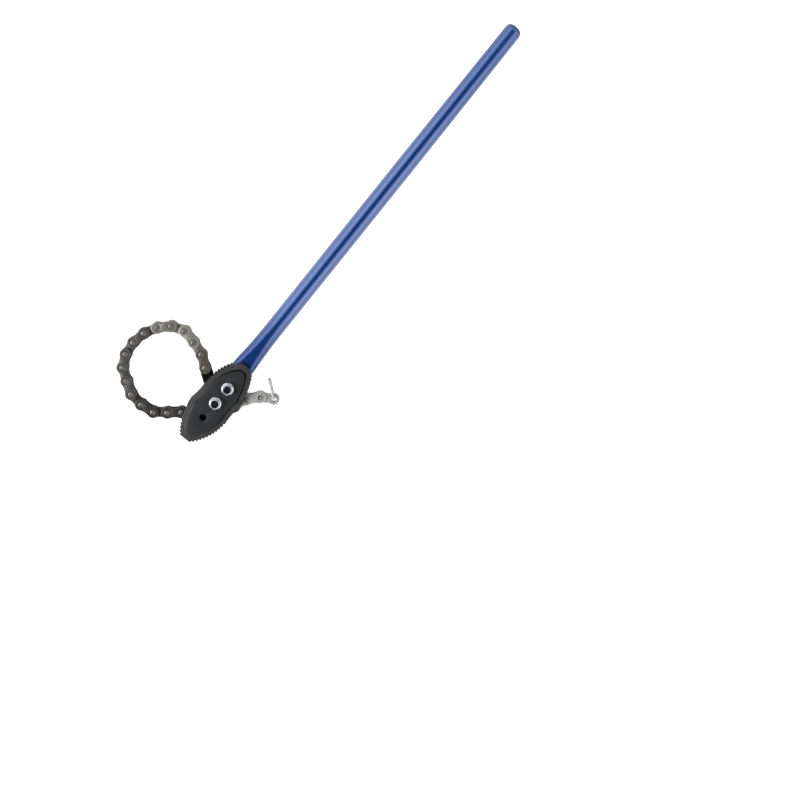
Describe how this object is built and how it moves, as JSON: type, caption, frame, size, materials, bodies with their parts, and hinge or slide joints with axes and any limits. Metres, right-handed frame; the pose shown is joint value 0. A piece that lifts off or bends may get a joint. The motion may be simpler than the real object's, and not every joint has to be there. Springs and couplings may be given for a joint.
{
  "type": "chain pipe wrench",
  "caption": "Long-handled chain wrench: two double-ended toothed jaw plates bolted to a bar, and a riveted chain that loops round a pipe and back between the jaws.",
  "frame": {"origin": "on the pivot bolt's axis at the outer face of its head, the plane that the bolt heads lie on", "axes": "+X along the handle away from the jaws, +Y towards the chain loop, +Z from the bolt heads to the nuts"},
  "size_m": [0.9561, 0.2818, 0.0647],
  "materials": {
    "blue_paint": "glossy dark blue paint",
    "jaw_steel": "forged steel with a dark oxide finish",
    "zinc": "bright zinc plate",
    "bolt_steel": "blackened high-tensile steel",
    "nylon": "dark blue nylon",
    "anchor_black": "black forged steel",
    "chain_steel": "oiled dark grey steel",
    "bright_steel": "bright rolled steel"
  },
  "bodies": {
    "wrench": {"handle": "blue_paint", "jaw_front": "jaw_steel", "jaw_rear": "jaw_steel", "pivot_bolt": "bolt_steel", "pivot_nut": "zinc", "pivot_nut_insert": "nylon", "upper_bolt": "bolt_steel", "upper_nut": "zinc", "upper_nut_insert": "nylon"},
    "anchor_link": {"anchor_link": "anchor_black"},
    "chain_01": {"chain_01_pin_plate": "chain_steel", "chain_01_cover_plate": "chain_steel"},
    "chain_02": {"chain_02_bush_plate": "chain_steel", "chain_02_side_plate": "chain_steel"},
    "chain_03": {"chain_03_pin_plate": "chain_steel", "chain_03_cover_plate": "chain_steel"},
    "chain_04": {"chain_04_bush_plate": "chain_steel", "chain_04_side_plate": "chain_steel"},
    "chain_05": {"chain_05_pin_plate": "chain_steel", "chain_05_cover_plate": "chain_steel"},
    "chain_06": {"chain_06_bush_plate": "chain_steel", "chain_06_side_plate": "chain_steel"},
    "chain_07": {"chain_07_pin_plate": "chain_steel", "chain_07_cover_plate": "chain_steel"},
    "chain_08": {"chain_08_bush_plate": "chain_steel", "chain_08_side_plate": "chain_steel"},
    "chain_09": {"chain_09_pin_plate": "chain_steel", "chain_09_cover_plate": "chain_steel"},
    "chain_10": {"chain_10_bush_plate": "chain_steel", "chain_10_side_plate": "chain_steel"},
    "chain_11": {"chain_11_pin_plate": "chain_steel", "chain_11_cover_plate": "chain_steel"},
    "chain_12": {"chain_12_bush_plate": "chain_steel", "chain_12_side_plate": "chain_steel"},
    "chain_13": {"chain_13_pin_plate": "chain_steel", "chain_13_cover_plate": "chain_steel"},
    "chain_14": {"chain_14_bush_plate": "chain_steel", "chain_14_side_plate": "chain_steel"},
    "chain_15": {"chain_15_pin_plate": "chain_steel", "chain_15_cover_plate": "chain_steel"},
    "chain_16": {"chain_16_bush_plate": "chain_steel", "chain_16_side_plate": "chain_steel"},
    "chain_17": {"chain_17_pin_plate": "chain_steel", "chain_17_cover_plate": "chain_steel"},
    "chain_18": {"chain_18_bush_plate": "chain_steel", "chain_18_side_plate": "chain_steel"},
    "chain_19": {"chain_19_pin_plate": "chain_steel", "chain_19_cover_plate": "chain_steel"},
    "chain_20": {"chain_20_bush_plate": "chain_steel", "chain_20_side_plate": "chain_steel"},
    "chain_21": {"chain_21_pin_plate": "bright_steel", "chain_21_cover_plate": "bright_steel"},
    "chain_22": {"chain_22_bush_plate": "bright_steel", "chain_22_side_plate": "bright_steel"},
    "pull_ring": {"pull_ring": "bright_steel"}
  },
  "joints": [
    {"name": "anchor_swing", "type": "hinge", "parent": "wrench", "child": "anchor_link", "pos_m": [0, 0, 0.0301], "axis": [0, 0, 1], "range_deg": [-15, 5]},
    {"name": "chain_01_turn", "type": "hinge", "parent": "anchor_link", "child": "chain_01", "pos_m": [0.03734, 0.05333, 0.0301], "axis": [0, 0, 1], "range_deg": [-20, 20]},
    {"name": "chain_02_turn", "type": "hinge", "parent": "chain_01", "child": "chain_02", "pos_m": [0.05263, 0.07361, 0.0301], "axis": [0, 0, -1], "range_deg": [-15, 8]},
    {"name": "chain_03_turn", "type": "hinge", "parent": "chain_02", "child": "chain_03", "pos_m": [0.06131, 0.09748, 0.0301], "axis": [0, 0, 1], "range_deg": [-8, 10]},
    {"name": "chain_04_turn", "type": "hinge", "parent": "chain_03", "child": "chain_04", "pos_m": [0.06746, 0.12213, 0.0301], "axis": [0, 0, -1], "range_deg": [-4, 60]},
    {"name": "chain_05_turn", "type": "hinge", "parent": "chain_04", "child": "chain_05", "pos_m": [0.05961, 0.14628, 0.0301], "axis": [0, 0, 1], "range_deg": [-60, 3]},
    {"name": "chain_06_turn", "type": "hinge", "parent": "chain_05", "child": "chain_06", "pos_m": [0.04165, 0.16424, 0.0301], "axis": [0, 0, -1], "range_deg": [-2, 60]},
    {"name": "chain_07_turn", "type": "hinge", "parent": "chain_06", "child": "chain_07", "pos_m": [0.01922, 0.17617, 0.0301], "axis": [0, 0, 1], "range_deg": [-60, 2]},
    {"name": "chain_08_turn", "type": "hinge", "parent": "chain_07", "child": "chain_08", "pos_m": [-0.00571, 0.18101, 0.0301], "axis": [0, 0, -1], "range_deg": [-1, 60]},
    {"name": "chain_09_turn", "type": "hinge", "parent": "chain_08", "child": "chain_09", "pos_m": [-0.03102, 0.1788, 0.0301], "axis": [0, 0, 1], "range_deg": [-60, 1]},
    {"name": "chain_10_turn", "type": "hinge", "parent": "chain_09", "child": "chain_10", "pos_m": [-0.05422, 0.16847, 0.0301], "axis": [0, 0, -1], "range_deg": [-1, 60]},
    {"name": "chain_11_turn", "type": "hinge", "parent": "chain_10", "child": "chain_11", "pos_m": [-0.06951, 0.14819, 0.0301], "axis": [0, 0, 1], "range_deg": [-60, 1]},
    {"name": "chain_12_turn", "type": "hinge", "parent": "chain_11", "child": "chain_12", "pos_m": [-0.08371, 0.12713, 0.0301], "axis": [0, 0, -1], "range_deg": [-1, 60]},
    {"name": "chain_13_turn", "type": "hinge", "parent": "chain_12", "child": "chain_13", "pos_m": [-0.08769, 0.10204, 0.0301], "axis": [0, 0, 1], "range_deg": [-60, 1]},
    {"name": "chain_14_turn", "type": "hinge", "parent": "chain_13", "child": "chain_14", "pos_m": [-0.08548, 0.07674, 0.0301], "axis": [0, 0, -1], "range_deg": [-1, 60]},
    {"name": "chain_15_turn", "type": "hinge", "parent": "chain_14", "child": "chain_15", "pos_m": [-0.07055, 0.05619, 0.0301], "axis": [0, 0, 1], "range_deg": [-60, 1]},
    {"name": "chain_16_turn", "type": "hinge", "parent": "chain_15", "child": "chain_16", "pos_m": [-0.05423, 0.03673, 0.0301], "axis": [0, 0, -1], "range_deg": [-1, 60]},
    {"name": "chain_17_turn", "type": "hinge", "parent": "chain_16", "child": "chain_17", "pos_m": [-0.0431, 0.0139, 0.0301], "axis": [0, 0, 1], "range_deg": [-60, 1]},
    {"name": "chain_18_turn", "type": "hinge", "parent": "chain_17", "child": "chain_18", "pos_m": [-0.0304, -0.0081, 0.0301], "axis": [0, 0, -1], "range_deg": [-3, 60]},
    {"name": "chain_19_turn", "type": "hinge", "parent": "chain_18", "child": "chain_19", "pos_m": [-0.01039, -0.02374, 0.0301], "axis": [0, 0, 1], "range_deg": [-60, 5]},
    {"name": "chain_20_turn", "type": "hinge", "parent": "chain_19", "child": "chain_20", "pos_m": [0.01377, -0.03159, 0.0301], "axis": [0, 0, -1], "range_deg": [-15, 60]},
    {"name": "chain_21_turn", "type": "hinge", "parent": "chain_20", "child": "chain_21", "pos_m": [0.03764, -0.04027, 0.0301], "axis": [0, 0, 1], "range_deg": [-60, 30]},
    {"name": "chain_22_turn", "type": "hinge", "parent": "chain_21", "child": "chain_22", "pos_m": [0.05622, -0.0576, 0.0301], "axis": [0, 0, -1], "range_deg": [-60, 60]},
    {"name": "pull_ring_turn", "type": "hinge", "parent": "chain_22", "child": "pull_ring", "pos_m": [0.06892, -0.07959, 0.0301], "axis": [0, 0, 1], "range_deg": [-150, 30]}
  ]
}
